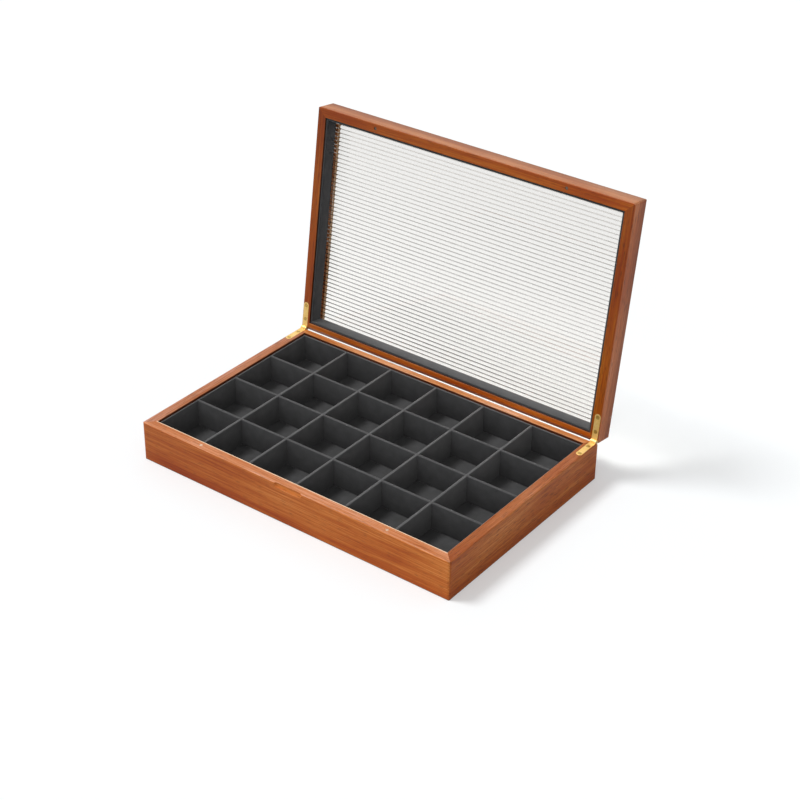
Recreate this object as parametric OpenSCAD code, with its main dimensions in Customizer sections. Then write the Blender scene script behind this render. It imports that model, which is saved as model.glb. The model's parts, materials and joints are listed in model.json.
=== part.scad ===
// Ring display box: a shallow case of four mitred wooden rails with a covered tray of
// square cells, and a framed lid with a reeded clear panel on two side-rail hinges.
// X runs to the right, Y to the rear and Z up. The origin is the centre of the underside.
// The lid is drawn shut and then turned open about the hinge pins, back to its stop.

/* [Case] */
// Width of the box, left to right
case_w = 350; // [260:1:420]
// Depth of the shut box, front to back
case_d = 232; // [180:1:300]
// Height of the lower case
base_h = 40; // [34:0.1:60]
// Thickness of the wooden rails of the case
wall = 10.2; // [9:0.1:12]
// Rounding of the upright corners and of the far edges of the lid
corner_r = 2.5; // [0.8:0.1:2.5]
// Rounding of the other outer edges
edge_r = 1; // [0.4:0.1:1.6]
// Rounding of the inner edge of each rim
rim_r = 0.5; // [0.2:0.1:0.8]
// Bevel along the top rear edge of the case
base_bevel = 4; // [3:0.5:6]

/* [Underside] */
// Thickness of the felt on the underside
felt_t = 0.8; // [0.5:0.1:1.5]
// Thickness of the bottom board
board_t = 6; // [4:0.5:8]
// Depth of the rebate that takes the bottom board, cut into the rails
rebate_in = 5; // [3:0.5:6]
// Gap all round the bottom board
board_fit = 0.2; // [0.1:0.1:0.5]

/* [Finger notch] */
// Length of the finger notch in the front rim
notch_len = 33; // [20:1:60]
// How far the notch reaches into the front face
notch_in = 1.7; // [1:0.1:2.5]
// Radius of the hollow and of its round ends
notch_r = 4.2; // [3.5:0.1:6]
// Depth of the middle of the hollow below the rim
notch_low = 1.4; // [0.5:0.1:3]

/* [Tray] */
// Cells side by side
cols = 6; // [2:1:8]
// Cells front to back
rows = 4; // [2:1:6]
// Thickness of the covered board under the cells
floor_t = 3.6; // [2:0.1:5]
// Thickness of the covered dividers
divider_t = 2.5; // [1.5:0.1:4]
// Thickness of the covered lining boards
lining_t = 1.2; // [1:0.1:2.5]
// How far the tray stays below the rim
tray_drop = 2; // [1:0.1:5]
// Gap between the tray and the wooden rails
tray_fit = 0.6; // [0.1:0.1:0.8]
// Gap where covered boards meet or cross
board_gap = 0.1; // [0.05:0.05:0.3]

/* [Lid] */
// Height of the lid frame
lid_h = 21.8; // [18:0.1:40]
// Thickness of the wooden rails of the lid
lid_wall = 9.2; // [8.6:0.1:12]
// How far the lid opens from shut
open_angle = 97.9; // [92:0.1:106]
// Gap left between the two rims when the lid is shut
parting = 0.2; // [0.1:0.05:0.4]
// Bevel along the rear edge of the lid rim
lid_bevel = 5; // [4:0.5:6.5]
// Thickness of the lip over the panel, on the front and side rails
lip_t = 3.9; // [1.5:0.1:4.5]
// Width of the lip inside the rails
lip_w = 3.7; // [2:0.1:5]
// Depth of the groove for the panel, cut into the rear rail instead of a lip
groove_in = 2; // [1:0.1:3]
// Thickness of the lid lining
lid_lining_t = 2; // [1:0.1:2.5]
// How far the lid lining stays back from the rim
lid_lining_drop = 1.3; // [0.5:0.1:3]

/* [Reeded panel] */
// Thickness of the panel over its ribs
panel_t = 3; // [2.5:0.1:5]
// Spacing of the ribs
rib_pitch = 4.18; // [3:0.02:8]
// Height of the ribs
rib_h = 0.6; // [0.4:0.05:1]
// Flat valley between two ribs
rib_land = 0.2; // [0.1:0.05:0.5]
// Gap round the edge of the panel and round the lid lining
panel_fit = 0.3; // [0.2:0.1:0.6]
// Play of the panel under the lip
panel_play = 0.1; // [0.05:0.05:0.3]

/* [Hinges] */
// Width of the hinge leaves
leaf_w = 6; // [5:0.1:7]
// Length of a leaf from the pin to its round end
leaf_len = 27.7; // [22:0.1:36]
// Distance from the outer face to the middle of a leaf
hinge_inset = 3.8; // [3.8:0.1:4.4]
// Outer radius of the knuckles
knuckle_r = 2.5; // [2:0.1:2.8]
// Radius of the hinge pins
pin_r = 0.75; // [0.6:0.05:1]
// Running clearance of the pin in the lid knuckle
pin_run = 0.05; // [0.02:0.01:0.08]
// Clearance of the pin in the case knuckles
pin_hold = 0.02; // [0.01:0.01:0.03]
// Width of the lid knuckle
knuckle_w = 2.2; // [1.8:0.1:2.6]
// Gap beside the lid knuckle
knuckle_gap = 0.1; // [0.05:0.05:0.2]
// How far the stop lug stands out of the lid knuckle
lug_out = 0.8; // [0.7:0.05:1]
// Clearance round the leaves in their mortises
mortise_fit = 0.1; // [0.05:0.05:0.2]

/* [Screws and magnets] */
// Radius of the screw heads
screw_head_r = 2; // [1.8:0.1:2.2]
// Radius of the screw shanks
screw_r = 0.95; // [0.8:0.05:1.1]
// Length of the screws
screw_len = 8; // [6:0.5:12]
// Clearance round the screws
screw_fit = 0.05; // [0.03:0.01:0.1]
// Distance from the pin to the near screw
screw_near = 9.8; // [8:0.1:12]
// Distance from the pin to the far screw
screw_far = 24.2; // [17:0.1:24.2]
// Radius of the magnets
magnet_r = 1.5; // [1:0.1:2.5]
// Height of the magnets
magnet_h = 3; // [2:0.5:5]
// Distance of each magnet from the middle of the box
magnet_x = 106; // [40:1:112]
// Distance from the front face to the middle of a magnet
magnet_in = 4.8; // [4.5:0.1:5.4]
// How far the magnets of the lid lie below its rim
magnet_sink = 0.5; // [0.2:0.1:1.5]
// Clearance round the magnets
magnet_fit = 0.1; // [0.05:0.05:0.2]

/* [Hidden] */
$fn = 48;
over = 1;
half_w = case_w / 2;
half_d = case_d / 2;
inner_w = case_w - 2 * wall;
inner_d = case_d - 2 * wall;
rebate_h = felt_t + board_t;
floor_top = rebate_h + floor_t;
tray_top = base_h - tray_drop;
tray_w = inner_w - 2 * tray_fit;
tray_d = inner_d - 2 * tray_fit;
divider_h = tray_top - floor_top;
cell_w = (tray_w - 2 * lining_t - (cols - 1) * divider_t) / cols;
cell_d = (tray_d - 2 * lining_t - (rows - 1) * divider_t) / rows;
rim_z = base_h + parting;
pivot_y = half_d - knuckle_r;
pivot_z = base_h + parting / 2;
hinge_x = half_w - hinge_inset;
leaf_t = knuckle_r - parting / 2;
panel_top = lid_h - lip_t - panel_play;
panel_low = panel_top - panel_t;
lid_lining_w = case_w - 2 * lid_wall - 2 * panel_fit;
lid_lining_d = case_d - 2 * lid_wall - 2 * panel_fit;
panel_w = lid_lining_w;
panel_d = lid_lining_d + groove_in;
rib_count = 2 * floor(panel_d / rib_pitch / 2);
rib_w = rib_pitch - rib_land;
rib_r = (rib_w * rib_w / 4 + rib_h * rib_h) / (2 * rib_h);
lug_r = knuckle_r + lug_out;
lug_relief = 0.2;
stop_y = knuckle_r + 0.2;
lug_span = 30;
lug_play = 0.5;
// Angle at which the lug meets the end of the case leaf, counted from the rear
lug_meets = 180 + acos(stop_y / lug_r) + lug_play;
wood = "#A9623A";
cover = "#343436";
divider_cover = "#3B3B3D";
brass = "#D8B25A";
nickel = "#C9C9CC";
clear = [0.95, 0.95, 0.94, 0.45];

// Waste between a square corner at the origin and a quarter round of radius r
module round_cut(r) {
    difference() {
        translate([-over, -over]) square(r + over);
        translate([r, r]) circle(r);
    }
}

// Outline of the box seen from above, with its corners rounded
module plan_outline(w, d) {
    corners = [[-1, -1], [1, -1], [1, 1], [-1, 1]];
    difference() {
        square([w, d], center = true);
        for (i = [0:3])
            translate([corners[i].x * w / 2, corners[i].y * d / 2]) rotate(90 * i) round_cut(corner_r);
    }
}

// One mitred rail of a frame. Side 0 is the front, 1 the right, 2 the back and 3 the left.
// The children are its section: first axis inwards from the outer face, second axis up.
// A lip stands inwards of the rail. Side rails run theirs straight on to the rear rail.
module rail(side, thick, height, lip) {
    long = side % 2 == 0 ? case_w : case_d;
    out = side % 2 == 0 ? half_d : half_w;
    deep = thick + lip;
    rear = side == 3 ? -1 : 1;
    rear_end = side % 2 == 1 && lip > 0
        ? [[long / 2 - thick, -out + thick], [long / 2 - thick, -out + deep]]
        : [[long / 2 - deep, -out + deep]];
    ends = concat([[-long / 2, -out], [long / 2, -out]], rear_end, [[-long / 2 + deep, -out + deep]]);
    rotate(90 * side) intersection() {
        translate([-long / 2, -out, 0]) rotate([90, 0, 90]) linear_extrude(long) children();
        linear_extrude(height) intersection() {
            plan_outline(long, 2 * out);
            polygon([for (p = ends) [rear * p.x, p.y]]);
        }
    }
}

// Section of the case rails: rounded edges and the rebate for the bottom
module base_section() {
    difference() {
        square([wall, base_h]);
        round_cut(edge_r);
        translate([0, base_h]) rotate(-90) round_cut(edge_r);
        translate([wall, base_h]) rotate(180) round_cut(rim_r);
        translate([wall - rebate_in, -over]) square([rebate_in + over, rebate_h + over]);
    }
}

// Section of the lid rails: a lip over the panel, or without one a groove for its edge
module lid_section(lip) {
    difference() {
        union() {
            square([lid_wall, lid_h]);
            if (lip > 0) translate([0, lid_h - lip_t]) square([lid_wall + lip, lip_t]);
        }
        round_cut(edge_r);
        translate([0, lid_h]) rotate(-90) round_cut(corner_r);
        translate([lid_wall, 0]) rotate(90) round_cut(rim_r);
        translate([lid_wall + lip, lid_h]) rotate(180) round_cut(rim_r);
        if (lip == 0)
            translate([lid_wall - groove_in, panel_low - panel_play])
                square([groove_in + over, panel_t + 2 * panel_play]);
    }
}

// Waste behind a bevel of size c along the rear top edge of the case
module rear_bevel(c) {
    translate([-half_w - over, 0, 0]) rotate([90, 0, 90]) linear_extrude(case_w + 2 * over)
        polygon([
            [half_d - c - over, over],
            [half_d + over, over],
            [half_d + over, -c - over]
        ]);
}

// Hollow for a finger along the front rim, as a round-ended cutter leaves it
module finger_notch() {
    reach = notch_len / 2 - notch_r;
    translate([0, -half_d + notch_in - notch_r, base_h - notch_low]) {
        rotate([0, 90, 0]) cylinder(r = notch_r, h = 2 * reach, center = true);
        for (side = [-1, 1]) translate([side * reach, 0, 0]) sphere(r = notch_r);
    }
}

// Plan of a hinge leaf, grown by fit all round, from its round end to the line y = rear
module leaf_plan(fit, rear) {
    end_y = -leaf_len + leaf_w / 2;
    translate([0, end_y]) circle(leaf_w / 2 + fit);
    translate([-leaf_w / 2 - fit, end_y]) square([leaf_w + 2 * fit, rear - end_y]);
}

// Bar along the pin line, centred on it
module pin_line(r, length) {
    rotate([0, 90, 0]) cylinder(r = r, h = length, center = true);
}

// Countersunk screw, its head at the origin and its shank down, grown by fit
module screw_body(fit) {
    sink = screw_head_r - screw_r;
    rotate_extrude() polygon([
        [0, 0],
        [screw_head_r + fit, 0],
        [screw_r + fit, -sink],
        [screw_r + fit, -screw_len + screw_r],
        [0, -screw_len - fit]
    ]);
}

module screw() {
    slot_w = screw_r / 2;
    difference() {
        screw_body(0);
        translate([-screw_head_r, -slot_w / 2, -slot_w]) cube([2 * screw_head_r, slot_w, slot_w + over]);
    }
}

// Puts its children at the two screws of a leaf, on its outer face
module at_screws() {
    for (y = [screw_near, screw_far])
        translate([0, -y, -parting / 2]) children();
}

// Waste for one leaf: its bed, the round relief at the pin and the screw holes
module mortise(relief_r) {
    translate([0, 0, -knuckle_r]) linear_extrude(knuckle_r + over)
        leaf_plan(mortise_fit, knuckle_r + over);
    pin_line(relief_r, leaf_w + 2 * mortise_fit);
    at_screws() screw_body(screw_fit);
}

// Leaf plate with its screw holes, lying below the pin line
module leaf_plate() {
    difference() {
        translate([0, 0, -knuckle_r]) linear_extrude(leaf_t) leaf_plan(0, 0);
        at_screws() screw_body(screw_fit);
        at_screws() cylinder(r = screw_head_r + screw_fit, h = over);
    }
}

// Case leaf: two outer knuckles, and a square end between them that stops the lug
module case_leaf() {
    side_w = (leaf_w - knuckle_w) / 2 - knuckle_gap;
    difference() {
        union() {
            leaf_plate();
            for (side = [-1, 1])
                translate([side * (leaf_w - side_w) / 2, 0, 0]) pin_line(knuckle_r, side_w);
        }
        translate([-knuckle_w / 2 - knuckle_gap, -stop_y, -knuckle_r - over])
            cube([knuckle_w + 2 * knuckle_gap, stop_y + over, knuckle_r + over]);
        pin_line(pin_r + pin_hold, leaf_w + 2 * over);
    }
}

// Lid leaf, drawn lying below the pin line as well: the middle knuckle and its stop lug
module lid_leaf() {
    lead = -(lug_meets + open_angle);
    trail = lead - lug_span;
    reach = 2 * lug_r;
    difference() {
        union() {
            difference() {
                leaf_plate();
                for (side = [-1, 1])
                    translate([side * leaf_w / 2, 0, -knuckle_r / 2])
                        cube([leaf_w - knuckle_w, 2 * stop_y, 2 * knuckle_r], center = true);
            }
            pin_line(knuckle_r, knuckle_w);
            intersection() {
                pin_line(lug_r, knuckle_w);
                translate([-knuckle_w / 2, 0, 0]) rotate([90, 0, 90]) linear_extrude(knuckle_w)
                    polygon([
                        [0, 0],
                        [reach * cos(lead), reach * sin(lead)],
                        [reach * cos(trail), reach * sin(trail)]
                    ]);
            }
        }
        pin_line(pin_r + pin_run, leaf_w);
    }
}

// Moves a hinge piece drawn about the pin line to the left (-1) or right (1) hinge
module at_hinge(side) {
    translate([side * hinge_x, pivot_y, pivot_z]) children();
}

// Turns a piece drawn below the pin line over into the lid
module into_lid() {
    mirror([0, 0, 1]) children();
}

// Both leaf beds of the case and of the lid
module case_mortises() {
    for (side = [-1, 1]) at_hinge(side) mortise(lug_r + lug_relief);
}

module lid_mortises() {
    for (side = [-1, 1]) at_hinge(side) into_lid() mortise(knuckle_r + lug_relief);
}

// Turns the shut lid open about the pins
module opened() {
    translate([0, pivot_y, pivot_z]) rotate([-open_angle, 0, 0])
        translate([0, -pivot_y, -pivot_z]) children();
}

// Puts its children at the two magnets, z being the height of the rim
module at_magnets(z) {
    for (side = [-1, 1])
        translate([side * magnet_x, -half_d + magnet_in, z]) children();
}

// Edge-covered board standing along X, centred on X, its round edge on top
module covered_board(length, thick, height) {
    translate([-length / 2, -thick / 2, 0]) rotate([90, 0, 90]) linear_extrude(length) {
        square([thick, height - thick / 2]);
        translate([thick / 2, height - thick / 2]) circle(thick / 2);
    }
}

// Wooden rails of the case
module base_rail(side) {
    color(wood) difference() {
        rail(side, wall, base_h, 0) base_section();
        translate([0, 0, base_h]) rear_bevel(base_bevel);
        if (side != 0) case_mortises();
        if (side == 0) finger_notch();
        if (side == 0) at_magnets(base_h - magnet_h)
            cylinder(r = magnet_r + magnet_fit, h = magnet_h + over);
    }
}

// Bottom board in its rebate, and the felt under it
module bottom_sheet(thick, fit) {
    w = inner_w + 2 * rebate_in - 2 * fit;
    d = inner_d + 2 * rebate_in - 2 * fit;
    translate([-w / 2, -d / 2, 0]) cube([w, d, thick]);
}

module bottom_board() {
    color("#8A6A4A") translate([0, 0, felt_t]) bottom_sheet(board_t, board_fit);
}

module bottom_felt() {
    color(cover) bottom_sheet(felt_t, board_fit + felt_t / 2);
}

module tray_floor() {
    color(cover) translate([-tray_w / 2, -tray_d / 2, rebate_h]) cube([tray_w, tray_d, floor_t]);
}

// Lining boards of the tray: the long ones run through, the short ones stand between them
module tray_lining_long(side) {
    color(cover) translate([0, side * (tray_d - lining_t) / 2, floor_top])
        covered_board(tray_w, lining_t, divider_h);
}

module tray_lining_short(side) {
    length = tray_d - 2 * lining_t - 2 * board_gap;
    color(cover) translate([side * (tray_w - lining_t) / 2, 0, floor_top]) rotate(90)
        covered_board(length, lining_t, divider_h);
}

// Places of the dividers, numbered from the left and from the front
function cross_x(i) = -tray_w / 2 + lining_t + i * cell_w + (i - 0.5) * divider_t;
function long_y(i) = -tray_d / 2 + lining_t + i * cell_d + (i - 0.5) * divider_t;

// Long divider, slotted from above for the cross dividers
module long_divider(i) {
    length = tray_w - 2 * lining_t - 2 * board_gap;
    slot = divider_t + 2 * board_gap;
    color(divider_cover) translate([0, long_y(i), floor_top]) difference() {
        covered_board(length, divider_t, divider_h);
        for (j = [1:cols - 1])
            translate([cross_x(j) - slot / 2, -divider_t, divider_h / 2])
                cube([slot, 2 * divider_t, divider_h]);
    }
}

// Cross divider, slotted from below to straddle the long dividers
module cross_divider(i) {
    length = tray_d - 2 * lining_t - 2 * board_gap;
    slot = divider_t + 2 * board_gap;
    color(divider_cover) translate([cross_x(i), 0, floor_top]) difference() {
        rotate(90) covered_board(length, divider_t, divider_h);
        for (j = [1:rows - 1])
            translate([-divider_t, long_y(j) - slot / 2, -over])
                cube([2 * divider_t, slot, divider_h / 2 + over]);
    }
}

module base_magnets() {
    color(nickel) at_magnets(base_h - magnet_h) cylinder(r = magnet_r, h = magnet_h);
}

module base_hinge_leaf(side) {
    color(brass) at_hinge(side) case_leaf();
}

module hinge_pin(side) {
    color(nickel) at_hinge(side) pin_line(pin_r, leaf_w);
}

module base_hinge_screws(side) {
    color(brass) at_hinge(side) at_screws() screw();
}

// Wooden rails of the lid
module lid_rail(side) {
    lip = side == 2 ? 0 : lip_w;
    color(wood) opened() difference() {
        translate([0, 0, rim_z]) rail(side, lid_wall, lid_h, lip) lid_section(lip);
        translate([0, 0, rim_z]) mirror([0, 0, 1]) rear_bevel(lid_bevel);
        if (side != 0) lid_mortises();
        if (side == 0) at_magnets(rim_z - over)
            cylinder(r = magnet_r + magnet_fit, h = magnet_sink + magnet_h + over);
    }
}

// Clear panel, flat inside and ribbed outside, the ribs running from left to right
module reeded_panel() {
    slab_t = panel_t - rib_h;
    first = -rib_count * rib_pitch / 2;
    color(clear) opened() translate([-panel_w / 2, groove_in / 2, rim_z + panel_low])
        rotate([90, 0, 90]) linear_extrude(panel_w) {
            translate([-panel_d / 2, 0]) square([panel_d, slab_t]);
            for (i = [0:rib_count - 1])
                translate([first + (i + 0.5) * rib_pitch, 0]) intersection() {
                    translate([-rib_w / 2, slab_t - rib_h / 2]) square([rib_w, panel_t]);
                    translate([0, panel_t - rib_r]) circle(rib_r);
                }
        }
}

// Lining boards of the lid, from just inside the rim up to the panel, which they hold
module lid_lining_long(side) {
    middle_y = side * (lid_lining_d - lid_lining_t) / 2;
    color(cover) opened() translate([0, middle_y, rim_z + panel_low])
        mirror([0, 0, 1])
            covered_board(lid_lining_w, lid_lining_t, panel_low - lid_lining_drop);
}

module lid_lining_short(side) {
    length = lid_lining_d - 2 * lid_lining_t - 2 * board_gap;
    middle_x = side * (lid_lining_w - lid_lining_t) / 2;
    color(cover) opened() translate([middle_x, 0, rim_z + panel_low])
        mirror([0, 0, 1]) rotate(90)
            covered_board(length, lid_lining_t, panel_low - lid_lining_drop);
}

module lid_magnets() {
    color(nickel) opened() at_magnets(rim_z + magnet_sink) cylinder(r = magnet_r, h = magnet_h);
}

module lid_hinge_leaf(side) {
    color(brass) opened() at_hinge(side) into_lid() lid_leaf();
}

module lid_hinge_screws(side) {
    color(brass) opened() at_hinge(side) into_lid() at_screws() screw();
}

base_rail(0);  // base_front
base_rail(1);  // base_right
base_rail(2);  // base_back
base_rail(3);  // base_left
bottom_board();
bottom_felt();
tray_floor();
tray_lining_long(-1);  // tray_lining_front
tray_lining_long(1);  // tray_lining_back
tray_lining_short(-1);  // tray_lining_left
tray_lining_short(1);  // tray_lining_right
for (i = [1:rows - 1])
    long_divider(i);
for (i = [1:cols - 1])
    cross_divider(i);
base_magnets();
base_hinge_leaf(-1);  // base_hinge_leaf_left
base_hinge_leaf(1);  // base_hinge_leaf_right
hinge_pin(-1);  // hinge_pin_left
hinge_pin(1);  // hinge_pin_right
base_hinge_screws(-1);  // base_hinge_screws_left
base_hinge_screws(1);  // base_hinge_screws_right
lid_rail(0);  // lid_front
lid_rail(1);  // lid_right
lid_rail(2);  // lid_back
lid_rail(3);  // lid_left
reeded_panel();
lid_lining_long(-1);  // lid_lining_front
lid_lining_long(1);  // lid_lining_back
lid_lining_short(-1);  // lid_lining_left
lid_lining_short(1);  // lid_lining_right
lid_magnets();
lid_hinge_leaf(-1);  // lid_hinge_leaf_left
lid_hinge_leaf(1);  // lid_hinge_leaf_right
lid_hinge_screws(-1);  // lid_hinge_screws_left
lid_hinge_screws(1);  // lid_hinge_screws_right
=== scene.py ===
# %% [markdown]
# # A ring display box
# The box is a shallow case of four mitred wooden rails with a covered tray of square
# cells, and a framed lid with a clear ribbed panel that leans back on two small hinges.
# Its solids come ready made as a fixed frame. This lesson gives them their finishes and
# makes the soft and the clear pieces again with more care than a solid needs.

import json
import math

import bpy
import numpy as np
from mathutils import Matrix, Vector


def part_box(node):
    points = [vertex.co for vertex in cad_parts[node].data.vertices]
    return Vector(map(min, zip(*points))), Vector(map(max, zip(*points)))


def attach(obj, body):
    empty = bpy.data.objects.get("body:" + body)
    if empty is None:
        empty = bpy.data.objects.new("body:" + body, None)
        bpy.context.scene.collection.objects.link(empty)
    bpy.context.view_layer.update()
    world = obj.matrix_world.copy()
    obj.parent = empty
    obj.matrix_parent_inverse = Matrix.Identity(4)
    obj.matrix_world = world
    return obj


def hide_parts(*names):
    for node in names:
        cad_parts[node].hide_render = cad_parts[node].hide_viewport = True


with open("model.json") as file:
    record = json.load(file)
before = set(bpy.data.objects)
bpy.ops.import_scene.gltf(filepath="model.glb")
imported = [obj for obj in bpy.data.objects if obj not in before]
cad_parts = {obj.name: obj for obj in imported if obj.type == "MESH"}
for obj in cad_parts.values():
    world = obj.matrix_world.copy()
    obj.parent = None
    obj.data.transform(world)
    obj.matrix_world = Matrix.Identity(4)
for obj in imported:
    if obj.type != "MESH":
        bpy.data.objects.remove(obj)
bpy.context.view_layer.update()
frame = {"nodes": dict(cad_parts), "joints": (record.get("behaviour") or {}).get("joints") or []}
solids = frame["nodes"]
mm = 0.001

# %% [markdown]
# ## The camera
# The straight edges of the box in the photograph fix the camera: it stands about 1.6 m
# away, 38 degrees to the right of the front and 32 degrees above it, rolled by under a
# degree. It was worked out from those edges, so a piece that is the right size and in the
# right place falls on the photograph by itself, and nothing has to be fitted by eye.

# %% Camera
camera_place = Vector((0.8371, -1.0764, 0.9140))
forward = Vector((-0.5089, 0.6828, -0.5242)).normalized()
right = Vector((0.7975, 0.6032, 0.0114))
lens_mm, sensor_mm = 79.47, 36

camera_data = bpy.data.cameras.new("camera")
camera_data.lens = lens_mm
camera_data.sensor_width = sensor_mm
camera = bpy.data.objects.new("camera", camera_data)
right = (right - right.dot(forward) * forward).normalized()
camera_turn = Matrix((right, right.cross(forward), -forward)).transposed()
camera.location = camera_place
camera.rotation_euler = camera_turn.to_euler()
bpy.context.scene.collection.objects.link(camera)
bpy.context.scene.camera = camera
print("camera distance in m:", round(camera_place.length, 3))

# %% [markdown]
# ## Small helpers
# A colour is easiest to talk about as the hex value that a paint program shows, but
# Blender mixes light in linear values, so one function turns the one into the other.
# Node trees, for shapes and for finishes, are all built with one function that adds a
# node, sets its settings and fills its inputs with values or with links.


# %% Colour and node helpers
def linear(hex_colour):
    """The linear RGBA of an sRGB hex colour such as "C67034"."""
    parts = [int(hex_colour[i : i + 2], 16) / 255 for i in (0, 2, 4)]
    return [p / 12.92 if p <= 0.04045 else ((p + 0.055) / 1.055) ** 2.4 for p in parts] + [1.0]


def add(tree, kind, inputs=None, **settings):
    """Adds a node. An input is a plain value, or the socket or node that feeds it."""
    node = tree.nodes.new(kind)
    for name, value in settings.items():
        setattr(node, name, value)
    for key, value in (inputs or {}).items():
        if isinstance(value, bpy.types.Node):
            value = value.outputs[0]
        if isinstance(value, bpy.types.NodeSocket):
            tree.links.new(value, node.inputs[key])
        else:
            node.inputs[key].default_value = value
    return node


def start_finish(name):
    """A new material with its shader, and the object's own coordinates."""
    finish = bpy.data.materials.new(name)
    finish.use_nodes = True
    tree = finish.node_tree
    tree.nodes.clear()
    shader = add(tree, "ShaderNodeBsdfPrincipled")
    add(tree, "ShaderNodeOutputMaterial", {"Surface": shader})
    place = add(tree, "ShaderNodeTexCoord").outputs["Object"]
    return finish, tree, shader, place


def dress(node, finish):
    """Gives a solid this finish alone."""
    solids[node].data.materials.clear()
    solids[node].data.materials.append(finish)


print("stain colour, linear:", [round(v, 3) for v in linear("C67034")[:3]])

# %% [markdown]
# ## Short names for common nodes
# Some nodes come up again and again: a product, a range, a mix of two colours, a bump.
# Each could be added by hand every time, but with a short function for each of them a
# finish reads like a formula.


# %% Short names for common nodes
def maths(tree, operation, *values):
    """The result of a calculation with one or two numbers or sockets."""
    return add(tree, "ShaderNodeMath", dict(enumerate(values)), operation=operation).outputs[0]


def both(tree, first, second):
    """Where two masks hold at once, or the product of two levels."""
    return maths(tree, "MULTIPLY", first, second)


def measured(tree, first, second, kind="DOT_PRODUCT"):
    """A vector calculation: its number for a dot product, its vector for anything else."""
    result = add(tree, "ShaderNodeVectorMath", {0: first, 1: second}, operation=kind)
    return result.outputs["Value" if kind == "DOT_PRODUCT" else "Vector"]


def ranged(tree, value, low, high, new_low=0.0, new_high=1.0):
    """A value between low and high, moved to between new_low and new_high."""
    return add(
        tree, "ShaderNodeMapRange",
        {"Value": value, "From Min": low, "From Max": high, "To Min": new_low, "To Max": new_high},
    ).outputs[0]


def blended(tree, factor, first, second, kind="MIX"):
    """A mix of two colours, each a hex value or a socket."""
    sides = [linear(side) if isinstance(side, str) else side for side in (first, second)]
    return add(
        tree, "ShaderNodeMix", {0: factor, 6: sides[0], 7: sides[1]},
        data_type="RGBA", blend_type=kind,
    ).outputs[2]


def raised(tree, shader, height, distance, strength):
    """Makes a height show as relief this deep."""
    relief = add(
        tree, "ShaderNodeBump", {"Height": height, "Distance": distance, "Strength": strength}
    )
    tree.links.new(relief.outputs[0], shader.inputs["Normal"])

# %% [markdown]
# ## Stained beech
# The rails are a fine straight-grained timber, stained reddish brown and sealed with a
# satin lacquer. Grain is long along a rail and narrow across it, so each layer is plain
# noise that is stretched: growth bands some 6 mm wide, fibres of about a millimetre,
# pores, the short dark dashes of a few millimetres, and wide patches where the stain took
# more or less. Stretching noise by real sizes needs no picture and no seams. Each rail
# turns the pattern along its own length, and the mitres show as they do in the
# photograph, because the grain changes direction there. More stain makes wood redder, not
# only darker, so green and blue fall faster than red where the grain is dark.
#
# A rail's rim, where case and lid meet, has colours of its own apart from its sides, chosen
# by where a face looks and by how near it lies to the plane in which the two rims meet; on
# the case's front and back rails the rim's colour is partly a painted highlight of the
# lamp's sheen along the fibres. Both change slowly from one end of a rail to the other. The
# inner faces just below the rim are painted dark, a painted shade of the gap between the rim
# and the lining, and along the inner edge of the case's front rail a thin pale line is a
# painted highlight where that edge catches the light. Away from the rim the sides are
# painted darker, a painted shade, and darkest along the last millimetre, a painted dark
# outline.


# %% Stained beech
# Colours of the painted shade on inner faces, of pale unstained wood, of a painted highlight along
# the rim's inner edge, of the pores and of a painted dark outline.
inner_shade, never_stained, edge_glint, pore_colour, painted_outline = (
    "5A2E1A", "F2CDA6", "F4D8B8", "42200C", "A89C94"
)
green_falls, blue_falls = 2.2, 4.6


def stretched(tree, place, along, across, detail, rough=0.5):
    """Noise whose grains are this long and this wide, in millimetres."""
    sizes = (1 / (along * mm), 1 / (across * mm), 1 / (across * mm))
    return add(
        tree, "ShaderNodeTexNoise",
        {"Vector": measured(tree, place, sizes, "MULTIPLY"), "Scale": 1.0, "Detail": detail,
         "Roughness": rough},
    ).outputs["Fac"]


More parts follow.
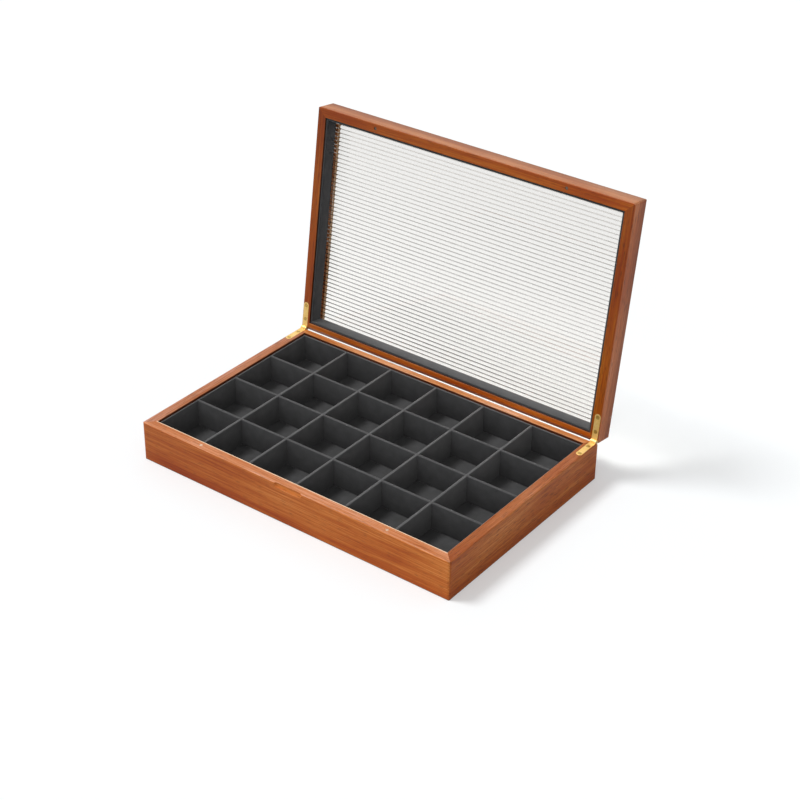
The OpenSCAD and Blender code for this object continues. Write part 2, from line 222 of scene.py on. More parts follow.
def stained_beech(name, turn, shift, run, sides, rim, rim_faces, heart, rim_height, far_shade,
                  pore_strength, dark_from=0.0, glint_depth=None):
    """Beech with two colours on its sides and two on the rim, each a pair that blends from
    one end of the rail to the other along run. The rim faces rim_faces and lies
    rim_height above the heart of the case or lid. Faces that look inward are painted dark,
    a painted shade, from the height dark_from up, and pale below it, where the panel covers
    them. far_shade is a painted shade on the sides away from the rim, and glint_depth is
    the depth where a painted highlight, a thin pale line along the rim's inner edge, starts."""
    finish, tree, shader, place = start_finish(name)
    along = add(
        tree, "ShaderNodeMapping",
        {"Vector": place, "Rotation": [math.radians(a) for a in turn], "Location": shift},
    ).outputs[0]
    bands = stretched(tree, along, 260, 6, 3, 0.55)
    fibres = stretched(tree, along, 55, 1.2, 3, 0.6)
    pores = stretched(tree, along, 9, 0.8, 1)
    stain = stretched(tree, along, 90, 35, 2)

    # Where a point lies and faces, seen from the heart of the case or lid.
    facing = add(tree, "ShaderNodeTexCoord").outputs["Normal"]
    outward = measured(tree, place, heart, "SUBTRACT")
    tilt, height = measured(tree, facing, rim_faces), measured(tree, outward, rim_faces)
    by_rim = ranged(tree, height, rim_height - 0.8 * mm, rim_height - 0.4 * mm)
    on_rim = both(tree, ranged(tree, tilt, 0.6, 0.8), by_rim)
    far_end = ranged(tree, measured(tree, outward, run), -1, 1)
    body = blended(tree, on_rim, blended(tree, far_end, *sides), blended(tree, far_end, *rim))

    # The upright faces that look inward: painted shade above dark_from, pale wood below it.
    inside = ranged(tree, measured(tree, facing, outward), -1 * mm, -5 * mm)
    flat = maths(tree, "ABSOLUTE", tilt)
    upright = ranged(tree, flat, 0.3, 0.6, 1.0, 0.0)
    above = ranged(tree, height, dark_from, dark_from + 1 * mm)
    inner = blended(tree, above, never_stained, inner_shade)
    body = blended(tree, both(tree, inside, upright), body, inner)

    # The grain, then the painted shade away from the rim with a painted dark outline along the far
    # edge, then the pores.
    grain = ranged(tree, bands, 0.3, 0.7, 0.9, 1.1)
    for layer, low, high in ((fibres, 0.76, 1.18), (stain, 0.85, 1.13)):
        grain = both(tree, grain, ranged(tree, layer, 0.3, 0.7, low, high))
    green, blue = (maths(tree, "POWER", grain, power) for power in (green_falls, blue_falls))
    grain = add(tree, "ShaderNodeCombineXYZ", {0: grain, 1: green, 2: blue}).outputs[0]
    body = blended(tree, 1.0, body, grain, "MULTIPLY")
    level = ranged(tree, flat, 0.5, 0.9)
    for end, start, tint in ((5 * mm, 15 * mm, far_shade), (0.6 * mm, 1.4 * mm, painted_outline)):
        unshaded = ranged(tree, height, -rim_height + end, -rim_height + start)
        unshaded = maths(tree, "MAXIMUM", unshaded, level)
        body = blended(tree, 1.0, body, blended(tree, unshaded, tint, "FFFFFF"), "MULTIPLY")
    body = blended(tree, ranged(tree, pores, 0.58, 0.7, 0.0, pore_strength), body, pore_colour)
    # Painted highlight: a thin pale line along the inner edge of the rim, where the edge catches
    # the light.
    if glint_depth is not None:
        depth = add(tree, "ShaderNodeSeparateXYZ", {0: place}).outputs[1]
        glint = both(tree, ranged(tree, depth, glint_depth, glint_depth + 0.2 * mm), by_rim)
        body = blended(tree, glint, body, edge_glint)
    tree.links.new(body, shader.inputs["Base Color"])
    tree.links.new(ranged(tree, fibres, 0.3, 0.7, 0.34, 0.46), shader.inputs["Roughness"])
    shader.inputs["Specular IOR Level"].default_value = 0.25
    raised(tree, shader, fibres, 0.05 * mm, 0.5)
    return finish


# %% [markdown]
# ## The eight rails
# No two rails look the same, because timber varies and takes stain unevenly, so each has
# a finish of its own from the one function. The rims of the case's front and back rails are
# also lighter than those of its left and right rails, a painted highlight of the sheen that
# runs along their fibres. The case's rim faces up. The lid stands open and its rim faces
# forward, so the lid's patterns and directions are turned with it.

# %% Finish the rails
hinge = frame["joints"][0]
open_degrees = max(hinge["range_deg"])
opened = Matrix.Rotation(math.radians(-open_degrees), 4, "X")
rim_up, rim_forward = Vector((0, 0, 1)), opened @ Vector((0, 0, -1))


def heart_of(part):
    """The middle of the four rails of a part."""
    boxes = [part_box(part + side) for side in ("front", "back", "left", "right")]
    low = [min(box[0][i] for box in boxes) for i in range(3)]
    high = [max(box[1][i] for box in boxes) for i in range(3)]
    return (Vector(low) + Vector(high)) / 2


def rim_above(part, heart, rim_faces):
    """How high the rim of a part lies above its heart, along the way that the rim faces."""
    return max((v.co - heart).dot(rim_faces) for v in solids[part + "front"].data.vertices)


case_heart, lid_heart = heart_of("base_"), heart_of("lid_")
case_rise = rim_above("base_", case_heart, rim_up)
lid_rise = rim_above("lid_", lid_heart, rim_forward)
# How wide the painted highlight along the case's front inner edge is, and where it starts.
glint_width = 1.1 * mm
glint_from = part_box("base_front")[1].y - glint_width
# Tints of the painted shade on the sides away from the rim, of the case and of the lid.
case_far_shade, lid_far_shade = "ECD199", "D2CBC2"
run_x, run_y = 150 * mm, 100 * mm
# Of each rail: the grain's turn, then the colours of the case's sides and rim, the rim's
# partly a painted highlight, and of the lid's sides and rim, from its first end to its
# last, and how dark its pores are.
rails = {
    "front": ((0, 0, 0), ("B35D1F", "C8712B"), ("C98053", "C98053"), ("B66F3D", "B66F3D"),
              ("934108", "AA5510"), 0.35),
    "back": ((0, 0, 0), ("B76323", "B76323"), ("CC8A57", "CC8A57"), ("B66F3D", "B66F3D"),
             ("A95A18", "BA6014"), 0.35),
    "left": ((0, 0, -90), ("B76323", "B76323"), ("B16E48", "B16E48"), ("B66F3D", "B66F3D"),
             ("883A04", "A75109"), 0.5),
    "right": ((0, 0, -90), ("B56324", "B56324"), ("A35A2A", "A35A2A"), ("BA6836", "BA6836"),
              ("924407", "9F500A"), 0.6),
}
for number, (side, look) in enumerate(rails.items()):
    turn, case_sides, case_rim_and_sheen, lid_sides, lid_rim, pore_strength = look
    run = Vector((1 / run_x, 0, 0)) if turn[2] == 0 else Vector((0, 1 / run_y, 0))
    case_finish = stained_beech(
        "stained beech, case " + side, turn, (0.37 * number, 0.11 * number, 0.05), run,
        case_sides, case_rim_and_sheen, rim_up, case_heart, case_rise, case_far_shade, pore_strength,
        glint_depth=glint_from if side == "front" else None,
    )
    lid_finish = stained_beech(
        "stained beech, lid " + side, (open_degrees, turn[1], turn[2]),
        (0.29 * number + 0.2, 0.13 * number, 0.31), opened @ run,
        lid_sides, lid_rim, rim_forward, lid_heart, lid_rise, lid_far_shade, pore_strength,
        dark_from=-lid_rise if side == "back" else 0.0,
    )
    dress("base_" + side, case_finish)
    dress("lid_" + side, lid_finish)
print("wooden rails finished:", 2 * len(rails), "rims above hearts in mm:",
      round(1000 * case_rise, 1), round(1000 * lid_rise, 1))

# %% [markdown]
# ## Growing pieces from node trees
# Boards and ribs follow rules, so node trees make them: a tree has named sizes, and the
# same tree then serves a lining, a divider or a whole row of them. The result is kept as
# one plain mesh, because an exported model can't carry a modifier or an instance.


# %% Run a tree and keep its mesh
def new_tree(name, inputs):
    """An empty geometry tree with one input for each name in inputs."""
    tree = bpy.data.node_groups.new(name, "GeometryNodeTree")
    kinds = {float: "NodeSocketFloat", int: "NodeSocketInt"}
    for label, value in inputs.items():
        kind = kinds.get(type(value), "NodeSocketMaterial")
        socket = tree.interface.new_socket(name=label, in_out="INPUT", socket_type=kind)
        if value is not None:
            socket.default_value = value
    tree.interface.new_socket(name="Geometry", in_out="OUTPUT", socket_type="NodeSocketGeometry")
    return tree, add(tree, "NodeGroupInput").outputs


def grow(name, tree, sizes, place, body, slot, *nodes):
    """Runs a tree with these sizes and keeps the result as a piece that stands for nodes."""
    piece = bpy.data.objects.new(name, bpy.data.meshes.new(name))
    bpy.context.scene.collection.objects.link(piece)
    maker = piece.modifiers.new("make", "NODES")
    maker.node_group = tree
    for item in tree.interface.items_tree:
        if item.in_out == "INPUT" and item.name in sizes:
            maker[item.identifier] = sizes[item.name]
    graph = bpy.context.evaluated_depsgraph_get()
    mesh = bpy.data.meshes.new_from_object(piece.evaluated_get(graph), depsgraph=graph)
    piece.modifiers.clear()
    mesh.transform(place)
    piece.data = mesh
    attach(piece, body)
    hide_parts(*nodes)
    low = [min(v.co[i] for v in mesh.vertices) * 1000 for i in range(3)]
    high = [max(v.co[i] for v in mesh.vertices) * 1000 for i in range(3)]
    print(name, "faces:", len(mesh.polygons), "from", [round(v, 1) for v in low],
          "to", [round(v, 1) for v in high])
    return piece


# %% [markdown]
# ## Charcoal microfibre
# Every board of the tray and of the lid lining is thin card wrapped in a suede-like
# microfibre. It is matt and nearly colourless, and its nap scatters light at grazing angles,
# which the shader's sheen gives. Where the cloth is folded over the top of a board it is
# painted lighter, a painted highlight for the light that the tops catch, since the key lamp
# leaves the tray out. The folds of the long dividers get less of it. Cloudy patches of some
# millimetres are where a finger has turned the nap, and a fine speckle stands for the fibres
# themselves.


# %% Charcoal microfibre
def cloudy(tree, place, scale, detail=2.0):
    """Noise of this many clouds to the metre."""
    return add(
        tree, "ShaderNodeTexNoise", {"Vector": place, "Scale": scale, "Detail": detail}
    ).outputs["Fac"]


def microfibre(name, pale, deep, fold_height=None, fold_highlight="6D6D6E"):
    """Cloth between two colours, with a painted highlight where it folds over the top of a board at
    this height.
    """
    finish, tree, shader, place = start_finish(name)
    patches = cloudy(tree, place, 110.0, 3.0)
    speckle = cloudy(tree, place, 1500.0, 1.0)
    body = blended(tree, ranged(tree, patches, 0.3, 0.7), deep, pale)
    body = blended(tree, 1.0, body, ranged(tree, speckle, 0.2, 0.8, 0.88, 1.12), "MULTIPLY")
    # Painted highlight where the cloth folds over the top of a board.
    if fold_height:
        height = add(tree, "ShaderNodeSeparateXYZ", {0: place}).outputs[2]
        fold = ranged(tree, height, fold_height - 0.9 * mm, fold_height - 0.3 * mm)
        body = blended(tree, fold, body, fold_highlight)
    tree.links.new(body, shader.inputs["Base Color"])
    shader.inputs["Roughness"].default_value = 0.95
    shader.inputs["Specular IOR Level"].default_value = 0.2
    shader.inputs["Sheen Weight"].default_value = 0.35
    shader.inputs["Sheen Roughness"].default_value = 0.5
    raised(tree, shader, speckle, 0.1 * mm, 0.6)
    return finish


tray_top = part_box("cross_divider_1")[1].z
wall_cloth = microfibre("microfibre, tray walls", "414142", "363637", tray_top)
long_cloth = microfibre("microfibre, long dividers", "414142", "363637", tray_top, "5B5B5C")
floor_cloth = microfibre("microfibre, tray floor", "444445", "393939")
lid_cloth = microfibre("microfibre, lid lining", "414142", "363638")
print("tray top in mm:", round(1000 * tray_top, 2))

# %% [markdown]
# ## A board wrapped in cloth
# A covered board is a rounded section swept along a line. The cloth makes its edges soft
# and its faces not quite flat, so the swept faces are moved in and out by a tenth of a
# millimetre of slow noise. Slots for the half-lapped crossings are cut by a boolean with
# a row of blocks, and rows of equal dividers are instances of one board.


# %% The covered-board tree
def covered_board_tree():
    """A board about its own middle, along X, with a row of slots and a row of copies."""
    tree, sizes = new_tree("covered board", {
        "Length": 0.3, "Thickness": 2.5 * mm, "Height": 27 * mm, "Fold Radius": 0.7 * mm,
        "Rows": 1, "Row Spacing": 0.05, "Slots": 0, "Slot Spacing": 0.05,
        "Slot Width": 2.7 * mm, "Slot Middle": 0.0, "Ripple": 0.06 * mm, "Cloth": None,
    })
    first, last = (
        add(tree, "ShaderNodeCombineXYZ", {0: maths(tree, "MULTIPLY", sizes["Length"], share)})
        for share in (-0.5, 0.5)
    )
    line = add(tree, "GeometryNodeCurvePrimitiveLine", {"Start": first, "End": last})
    steps = add(
        tree, "GeometryNodeResampleCurve", {"Curve": line, "Length": 5 * mm}, mode="LENGTH"
    )
    section = add(
        tree, "GeometryNodeCurvePrimitiveQuadrilateral",
        {"Width": sizes["Thickness"], "Height": sizes["Height"]},
    )
    soft = add(
        tree, "GeometryNodeFilletCurve",
        {"Curve": section, "Radius": sizes["Fold Radius"], "Count": 4, "Limit Radius": True},
        mode="POLY",
    )
    board = add(
        tree, "GeometryNodeCurveToMesh", {"Curve": steps, "Profile Curve": soft, "Fill Caps": True}
    )
    block_depth = 10 * mm
    block_size = add(
        tree, "ShaderNodeCombineXYZ",
        {0: sizes["Slot Width"], 1: block_depth, 2: sizes["Height"]},
    )
    block = add(tree, "GeometryNodeMeshCube", {"Size": block_size})
    slots = rows_of(tree, block, sizes["Slots"], sizes["Slot Spacing"], 0, sizes["Slot Middle"])
    cut = add(
        tree, "GeometryNodeMeshBoolean", {"Mesh 1": board, "Mesh 2": slots},
        operation="DIFFERENCE",
    )
    any_slots = add(
        tree, "FunctionNodeCompare", {2: sizes["Slots"], 3: 0},
        data_type="INT", operation="GREATER_THAN",
    )
    chosen = add(
        tree, "GeometryNodeSwitch", {"Switch": any_slots, "False": board, "True": cut},
        input_type="GEOMETRY",
    )
    slow = add(
        tree, "ShaderNodeTexNoise", {"W": 3.7, "Scale": 40.0, "Detail": 2.0},
        noise_dimensions="4D",
    )
    swell = maths(tree, "SUBTRACT", slow.outputs["Fac"], 0.75)
    amount = both(tree, swell, sizes["Ripple"])
    facing = add(tree, "GeometryNodeInputNormal")
    shift = add(tree, "ShaderNodeVectorMath", {0: facing, "Scale": amount}, operation="SCALE")
    rippled = add(tree, "GeometryNodeSetPosition", {"Geometry": chosen, "Offset": shift})
    shaded = smoothed(tree, rippled, 0.8)
    rows = rows_of(tree, shaded, sizes["Rows"], sizes["Row Spacing"], 1, 0.0)
    covered = add(tree, "GeometryNodeSetMaterial", {"Geometry": rows, "Material": sizes["Cloth"]})
    add(tree, "NodeGroupOutput", {"Geometry": covered})
    return tree


def smoothed(tree, shape, sharpest):
    """Smooth shading, except over edges that turn by more than this many radians."""
    angle = add(tree, "GeometryNodeInputMeshEdgeAngle")
    return add(
        tree, "GeometryNodeSetShadeSmooth",
        {"Geometry": shape, "Shade Smooth": maths(tree, "LESS_THAN", angle.outputs[0], sharpest)},
        domain="EDGE",
    )


def rows_of(tree, shape, count, spacing, axis, height):
    """Copies of a shape in a centred row along an axis, as real geometry."""
    span = maths(tree, "MULTIPLY", maths(tree, "SUBTRACT", count, 1.0), spacing)
    start = maths(tree, "MULTIPLY", span, -0.5)
    first = add(tree, "ShaderNodeCombineXYZ", {axis: start, 2: height})
    step = add(tree, "ShaderNodeCombineXYZ", {axis: spacing})
    points = add(
        tree, "GeometryNodeMeshLine",
        {"Count": count, "Start Location": first, "Offset": step}, mode="OFFSET",
    )
    copies = add(tree, "GeometryNodeInstanceOnPoints", {"Points": points, "Instance": shape})
    return add(tree, "GeometryNodeRealizeInstances", {0: copies})


board_tree = covered_board_tree()
print("covered-board tree:", len(board_tree.nodes), "nodes")

# %% [markdown]
# ## The tray
# Five cross dividers run from front to back over three long ones. Each crossing is a
# half lap: the long boards are slotted from above and the cross boards from below, so
# only the cross boards' folds run through at the top, as the photograph shows. The
# linings stand against the rails and close the outer cells.


# %% Dividers and tray linings
def middle(node):
    """The middle of a solid's box."""
    low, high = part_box(node)
    return (low + high) / 2


def size_of(node):
    """The width, depth and height of a solid's box."""
    low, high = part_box(node)
    return high - low


quarter_turn = Matrix.Rotation(math.radians(90), 4, "Z")
long_size, cross_size = size_of("long_divider_1"), size_of("cross_divider_1")
cell_x = middle("cross_divider_2").x - middle("cross_divider_1").x
cell_y = middle("long_divider_2").y - middle("long_divider_1").y
tray_walls = [
    grow(
        "tray_long_dividers", board_tree,
        {"Length": long_size.x, "Thickness": long_size.y, "Height": long_size.z, "Rows": 3,
         "Row Spacing": cell_y, "Slots": 5, "Slot Spacing": cell_x,
         "Slot Middle": long_size.z / 2, "Cloth": long_cloth},
        Matrix.Translation((0, middle("long_divider_2").y, middle("long_divider_2").z)),
        "base", "microfibre", "long_divider_1", "long_divider_2", "long_divider_3",
    ),
    grow(
        "tray_cross_dividers", board_tree,
        {"Length": cross_size.y, "Thickness": cross_size.x, "Height": cross_size.z, "Rows": 5,
         "Row Spacing": cell_x, "Slots": 3, "Slot Spacing": cell_y,
         "Slot Middle": -cross_size.z / 2, "Cloth": wall_cloth},
        Matrix.Translation((0, 0, middle("cross_divider_3").z)) @ quarter_turn,
        "base", "microfibre", *["cross_divider_%d" % i for i in range(1, 6)],
    ),
]


def cover(node, low, high, cloth, pose, body, slot):
    """One covered board that fills a lining's box, posed by a matrix."""
    size, along_y = high - low, "left" in node or "right" in node
    return grow(
        "covered_" + node, board_tree,
        {"Length": size.y if along_y else size.x, "Thickness": size.x if along_y else size.y,
         "Height": size.z, "Fold Radius": 0.5 * mm, "Cloth": cloth},
        pose @ Matrix.Translation((low + high) / 2) @ (quarter_turn if along_y else Matrix()),
        body, slot, node,
    )


for side in ("front", "back", "left", "right"):
    node = "tray_lining_" + side
    tray_walls.append(cover(node, *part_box(node), wall_cloth, Matrix(), "base", "microfibre"))

# %% [markdown]
# ## The tray's floor
# One padded board lies under all the cells. The same tree makes it, laid flat.

# %% Tray floor
floor_size = size_of("tray_floor")
lay_flat = Matrix.Rotation(math.radians(90), 4, "X")
grow(
    "covered_tray_floor", board_tree,
    {"Length": floor_size.x, "Thickness": floor_size.z, "Height": floor_size.y,
     "Fold Radius": 0.6 * mm, "Ripple": 0.1 * mm, "Cloth": floor_cloth},
    Matrix.Translation(middle("tray_floor")) @ lay_flat,
    "base", "microfibre_floor", "tray_floor",
)

# %% [markdown]
# ## The lid's lining
# Narrow covered boards line the lid as well. They are drawn as the lid lies shut, and
# one matrix then turns them open about the hinge pins, as the solids are turned.

# %% Lid lining
pin_place = Matrix.Translation(Vector(hinge["pos_m"]))
turn_open = pin_place @ opened @ pin_place.inverted()
turn_shut = turn_open.inverted()


def shut_box(node):
    """The box of a lid solid, measured with the lid turned shut."""
    points = np.array([turn_shut @ v.co for v in solids[node].data.vertices])
    return Vector(points.min(0)), Vector(points.max(0))


for side in ("front", "back", "left", "right"):
    node = "lid_lining_" + side
    cover(node, *shut_box(node), lid_cloth, turn_open, "lid", "microfibre_lid")

# %% [markdown]
# ## The clear ribbed panel
# The panel is cast acrylic, flat inside and ribbed outside, with 50 ribs along the box.
# Each rib is a shallow arc, so it works as a small lens: it bends the view behind it and
# leaves a thin darker line in each valley. Acrylic's index is 1.49. It lets lamp light
# through, which a plain glass shader would stop, so rays that look for a lamp pass it as
# if it were clear film. A grey tint along each valley is painted shade that darkens those
# lines, stronger toward the front of the lid, which is its top when it stands open, and the
# tint between the valleys is painted darker toward the top and whiter toward the hinge.

# %% Clear acrylic
low, high = shut_box("reeded_panel")
rib_pitch, rib_height = 4.18 * mm, 0.6 * mm
ribs = 2 * int((high.y - low.y) / rib_pitch / 2)
shut_y = (opened.inverted() @ (turn_open @ ((low + high) / 2))).y
rib_start = shut_y - ribs * rib_pitch / 2
acrylic, tree, shader, place = start_finish("cast acrylic, clear")
turned = add(
    tree, "ShaderNodeMapping", {"Vector": place, "Rotation": (math.radians(open_degrees), 0, 0)}
)
depth = add(tree, "ShaderNodeSeparateXYZ", {0: turned}).outputs[1]
phase = maths(tree, "SUBTRACT", depth, rib_start)
from_valley = maths(tree, "PINGPONG", phase, rib_pitch / 2)
off_valley = ranged(tree, from_valley, 0.1 * mm, 0.4 * mm)
down = ranged(tree, depth, rib_start, rib_start + ribs * rib_pitch)
# Painted shade: darker valley lines and a panel tinted darker toward its top, whiter toward the
# hinge.
valley_shade = blended(tree, down, "C0B8B0", "F6F2EE")
rib_painted_tone = blended(tree, down, "EDEAE7", "FFFCF8")
tree.links.new(blended(tree, off_valley, valley_shade, rib_painted_tone), shader.inputs["Base Color"])
shader.inputs["Transmission Weight"].default_value = 1.0
shader.inputs["IOR"].default_value = 1.49
haze = ranged(tree, cloudy(tree, place, 60.0), 0.3, 0.7, 0.0, 0.02)
tree.links.new(haze, shader.inputs["Roughness"])
film = add(tree, "ShaderNodeBsdfTransparent", {"Color": linear("F8F8F6")})
rays = add(tree, "ShaderNodeLightPath")
lamps_pass = add(
    tree, "ShaderNodeMixShader",
    {0: rays.outputs["Is Shadow Ray"], 1: shader.outputs[0], 2: film.outputs[0]},
)
surface = next(n for n in tree.nodes if n.type == "OUTPUT_MATERIAL").inputs["Surface"]
tree.links.new(lamps_pass.outputs[0], surface)
print("ribs:", ribs, "pitch in mm:", round(1000 * rib_pitch, 2))

# %% [markdown]
# ## Real ribs
# Real bending needs real ribs. A slab is divided into fine rows, 14 to a rib, and the
# tree lifts each row of its outer face to the height of the arc there, with a small flat
# left between two ribs.


# %% The ribbed-panel tree
def ribbed_panel_tree():
    """A slab about its own middle with shallow arcs along X on its upper face."""
    tree, sizes = new_tree("ribbed panel", {
        "Width": 0.33, "Depth": 0.21, "Thickness": 3 * mm, "Rib Pitch": rib_pitch,
        "Rib Height": rib_height, "Land": 0.2 * mm, "Ribs": ribs, "Steps": 14, "Acrylic": None,
    })
    pitch, rib_rise = sizes["Rib Pitch"], sizes["Rib Height"]
    rows = maths(tree, "ADD", maths(tree, "MULTIPLY", sizes["Ribs"], sizes["Steps"]), 1.0)
    span = maths(tree, "MULTIPLY", sizes["Ribs"], pitch)
    slab_t = maths(tree, "SUBTRACT", sizes["Thickness"], rib_rise)
    slab_size = add(tree, "ShaderNodeCombineXYZ", {0: sizes["Width"], 1: span, 2: slab_t})
    slab = add(
        tree, "GeometryNodeMeshCube",
        {"Size": slab_size, "Vertices X": 2, "Vertices Y": rows, "Vertices Z": 2},
    )
    place = add(tree, "ShaderNodeSeparateXYZ", {0: add(tree, "GeometryNodeInputPosition")})

    # How far a row lies from the middle of its own rib.
    half_span = maths(tree, "MULTIPLY", span, 0.5)
    from_edge = maths(tree, "ADD", place.outputs[1], half_span)
    part = maths(tree, "FRACT", maths(tree, "DIVIDE", from_edge, pitch))
    across = maths(tree, "MULTIPLY", maths(tree, "SUBTRACT", part, 0.5), pitch)

    # The radius of an arc from its chord and rise, and its height at that distance.
    wide = maths(tree, "SUBTRACT", pitch, sizes["Land"])
    quarter = maths(tree, "MULTIPLY", maths(tree, "MULTIPLY", wide, wide), 0.25)
    total = maths(tree, "ADD", quarter, maths(tree, "MULTIPLY", rib_rise, rib_rise))
    radius = maths(tree, "DIVIDE", total, maths(tree, "MULTIPLY", rib_rise, 2.0))
    radius2, across2 = (maths(tree, "MULTIPLY", side, side) for side in (radius, across))
    root = maths(tree, "SQRT", maths(tree, "SUBTRACT", radius2, across2))
    arc = maths(tree, "SUBTRACT", root, maths(tree, "SUBTRACT", radius, rib_rise))
    outside = maths(tree, "GREATER_THAN", place.outputs[2], 0.0)
    rise = both(tree, maths(tree, "MAXIMUM", arc, 0.0), outside)

    # The first and last rows move out to the panel's own edges.
    spare = maths(tree, "MULTIPLY", maths(tree, "SUBTRACT", sizes["Depth"], span), 0.5)
    reach = maths(tree, "ABSOLUTE", place.outputs[1])
    at_edge = maths(tree, "GREATER_THAN", reach, maths(tree, "SUBTRACT", half_span, 0.02 * mm))
    out = both(tree, both(tree, maths(tree, "SIGN", place.outputs[1]), at_edge), spare)
    shift = add(tree, "ShaderNodeCombineXYZ", {1: out, 2: rise})
    ribbed = add(
        tree, "GeometryNodeSetPosition", {"Geometry": slab.outputs["Mesh"], "Offset": shift}
    )
    shaded = smoothed(tree, ribbed, 0.3)
    real = add(tree, "GeometryNodeRealizeInstances", {0: shaded})
    clear = add(tree, "GeometryNodeSetMaterial", {"Geometry": real, "Material": sizes["Acrylic"]})
    add(tree, "NodeGroupOutput", {"Geometry": clear})
    return tree


slab_middle = (low + high) / 2 - Vector((0, 0, rib_height / 2))
grow(
    "clear_ribbed_panel", ribbed_panel_tree(),
    {"Width": high.x - low.x, "Depth": high.y - low.y, "Thickness": high.z - low.z,
     "Rib Pitch": rib_pitch, "Rib Height": rib_height, "Ribs": ribs, "Acrylic": acrylic},
    turn_open @ Matrix.Translation(slab_middle), "lid", "acrylic", "reeded_panel",
)

# %% [markdown]
# ## Brass, steel and nickel
# The hinge leaves are stamped brass, polished and lightly handled: fine scratches run
# along a leaf and the roughness changes in patches. The screws are turned brass, a shade
# darker, the pins are drawn steel and the magnets nickel plated, those of the case under
# a film of stain. Those of the lid are painted dark brown, a painted shade of the holes
# they sit in. A metal's colour is its reflection. Under lacquer or stain part of the colour
# is that film's own, so the brass and the case's magnets are less than wholly metallic.


# %% Metals
def metal(name, colour, worn_colour, smoothest, roughest, metallic=1.0):
    """Metal that is duller and of another colour where it is worn."""
    finish, tree, shader, place = start_finish(name)
    shader.inputs["Metallic"].default_value = metallic
    wear, scratches = cloudy(tree, place, 420.0, 3.0), stretched(tree, place, 0.25, 6, 2)
    tone = blended(tree, ranged(tree, wear, 0.35, 0.65), worn_colour, colour)
    tree.links.new(tone, shader.inputs["Base Color"])
    rough = ranged(tree, wear, 0.3, 0.7, roughest, smoothest)
    tree.links.new(rough, shader.inputs["Roughness"])
    raised(tree, shader, scratches, 0.01 * mm, 0.4)
    return finish


sides = ("_left", "_right")
metals = {
    "brass, satin": ([part + "_hinge_leaf" + side for part in ("base", "lid") for side in sides],
                     ("FAD68A", "F0C66C", 0.3, 0.46, 0.45)),
    "brass, turned": ([part + "_hinge_screws" + side for part in ("base", "lid") for side in sides],
                      ("DDB868", "C09A4C", 0.25, 0.4, 0.7)),
    "steel, drawn": (["hinge_pin" + side for side in sides],
                     ("C8C8CA", "A8A8AA", 0.25, 0.35)),
    "nickel under stain": (["base_magnets"], ("E8C4A8", "D6AA8A", 0.2, 0.34, 0.4)),
    # The lid's magnets are painted dark brown, a painted shade of their recessed holes.
    "nickel, shaded in its holes": (["lid_magnets"], ("7C6A5E", "5C4C42", 0.3, 0.5)),
}
for name, (nodes, look) in metals.items():
    finish = metal(name, *look)
    for node in nodes:
        dress(node, finish)
print("metal finishes:", len(metals))

# %% [markdown]
# ## The underside
# A fibreboard bottom sits in the rails' rebate, and a thin felt keeps the box from
# marking a table. The felt is a sheet of pressed wool, so its faces are a little uneven
# and its cut edges round, and its look is a matt, hairy speckle.

# %% Fibreboard and felt
fibreboard, tree, shader, place = start_finish("fibreboard, sanded")
chips = ranged(tree, cloudy(tree, place, 900.0, 3.0), 0.3, 0.7)
tree.links.new(blended(tree, chips, "6E5238", "8E6E4E"), shader.inputs["Base Color"])
shader.inputs["Roughness"].default_value = 0.8
dress("bottom_board", fibreboard)
felt_cloth = microfibre("felt, pressed", "38383A", "28282A")
felt_size = size_of("bottom_felt")
felt = grow(
    "felt_underside", board_tree,
    {"Length": felt_size.x, "Thickness": felt_size.z, "Height": felt_size.y,
     "Fold Radius": 0.3 * mm, "Ripple": 0.05 * mm, "Cloth": felt_cloth},
    Matrix.Translation(middle("bottom_felt")) @ lay_flat, "base", "felt", "bottom_felt",
)

# %% [markdown]
# ## The floor
# The box stands on a large matt sheet that is nearly white. Seen by the camera or through
# the panel it glows a little, so that it runs into the white background.

# %% Floor
floor_paint, tree, shader, place = start_finish("floor, matt white")
cloud = cloudy(tree, place, 3.0)
tree.links.new(blended(tree, cloud, "CACDCF", "CCCFD0"), shader.inputs["Base Color"])
shader.inputs["Roughness"].default_value = 0.9
shader.inputs["Specular IOR Level"].default_value = 0.1
floor_glow = 0.34
rays = add(tree, "ShaderNodeLightPath").outputs
seen = maths(tree, "ADD", rays["Is Camera Ray"], rays["Is Transmission Ray"])
shader.inputs["Emission Color"].default_value = linear("FFFFFF")
tree.links.new(both(tree, seen, floor_glow), shader.inputs["Emission Strength"])
floor_reach, just_below = 6.0, -0.02 * mm
corners = [(x * floor_reach, y * floor_reach, 0) for x, y in ((-1, -1), (1, -1), (1, 1), (-1, 1))]
floor_mesh = bpy.data.meshes.new("floor")
floor_mesh.from_pydata(corners, [], [(0, 1, 2, 3)])
floor_mesh.materials.append(floor_paint)
floor = bpy.data.objects.new("floor", floor_mesh)
floor.location.z = just_below
bpy.context.scene.collection.objects.link(floor)
print("floor half size in m:", floor_reach)

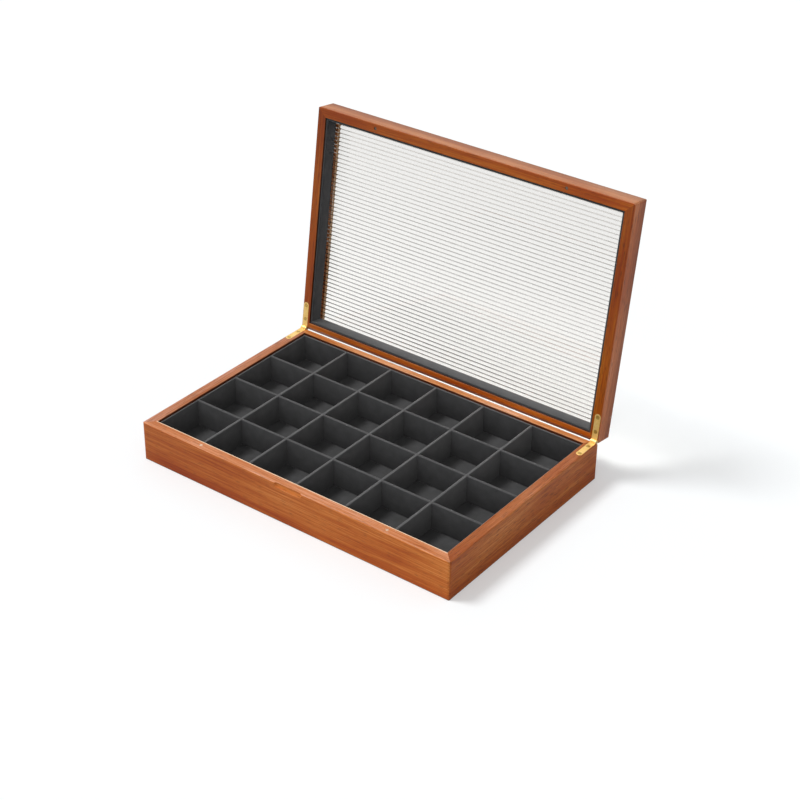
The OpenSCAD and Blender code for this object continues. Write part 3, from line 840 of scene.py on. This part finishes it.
# %% [markdown]
# ## Light and background
# The photograph was lit by one large lamp from the left front, about 60 degrees up: the
# shadows of the lid's right rail and of the case fall to the right and a little back,
# with edges nearly 20 degrees soft. A sun lamp of that angle gives it evenly over the
# whole floor, a weak one from the front fills the faces towards the camera, and the world
# adds the light of a pale room. No lamp's shadow shows on the walls of the cells, so the
# key lamp leaves them out and a wide, low lamp from the front grazes them instead.
#
# What the camera, a mirror or a clear piece sees is white. The lamps aren't seen through
# the panel, whose ribs would scatter them as bright dots.


# %% Lamps and world
def sun(name, towards, strength, softness_degrees):
    """A sun lamp that stands in this direction."""
    lamp = bpy.data.lights.new(name, "SUN")
    lamp.energy = strength
    lamp.angle = math.radians(softness_degrees)
    holder = bpy.data.objects.new(name, lamp)
    holder.rotation_euler = Vector(towards).to_track_quat("Z", "Y").to_euler()
    holder.visible_transmission = False
    bpy.context.scene.collection.objects.link(holder)
    return holder


def light_of(lamp, pieces, only):
    """Lights only these pieces with a lamp, or everything but them."""
    group = bpy.data.collections.new(lamp.name + " lights")
    for piece in pieces:
        group.objects.link(piece)
    for entry in group.collection_objects:
        entry.light_linking.link_state = "INCLUDE" if only else "EXCLUDE"
    lamp.light_linking.receiver_collection = group


key_lamp = sun("key_lamp", (-0.446, -0.225, 0.866), 2.1, 18)
sun("front_fill", (0.1, -0.93, 0.35), 0.28, 60)
light_of(key_lamp, tray_walls, only=False)
light_of(sun("tray_lamp", (0.1, -0.93, 0.35), 1.0, 40), tray_walls, only=True)
world = bpy.data.worlds.new("pale room")
bpy.context.scene.world = world
world.use_nodes = True
tree = world.node_tree
tree.nodes.clear()
rays = add(tree, "ShaderNodeLightPath").outputs
seen = maths(tree, "MAXIMUM", rays["Is Camera Ray"], rays["Is Glossy Ray"])
seen = maths(tree, "MAXIMUM", seen, rays["Is Transmission Ray"])
room_level, seen_level = 0.5, 1.0
level = ranged(tree, seen, 0.0, 1.0, room_level, seen_level)
glow = add(tree, "ShaderNodeBackground", {"Color": linear("FFFFFF"), "Strength": level})
add(tree, "ShaderNodeOutputWorld", {"Surface": glow})
bpy.context.scene.view_settings.view_transform = "Standard"
print("lamps: 3, room level", room_level)
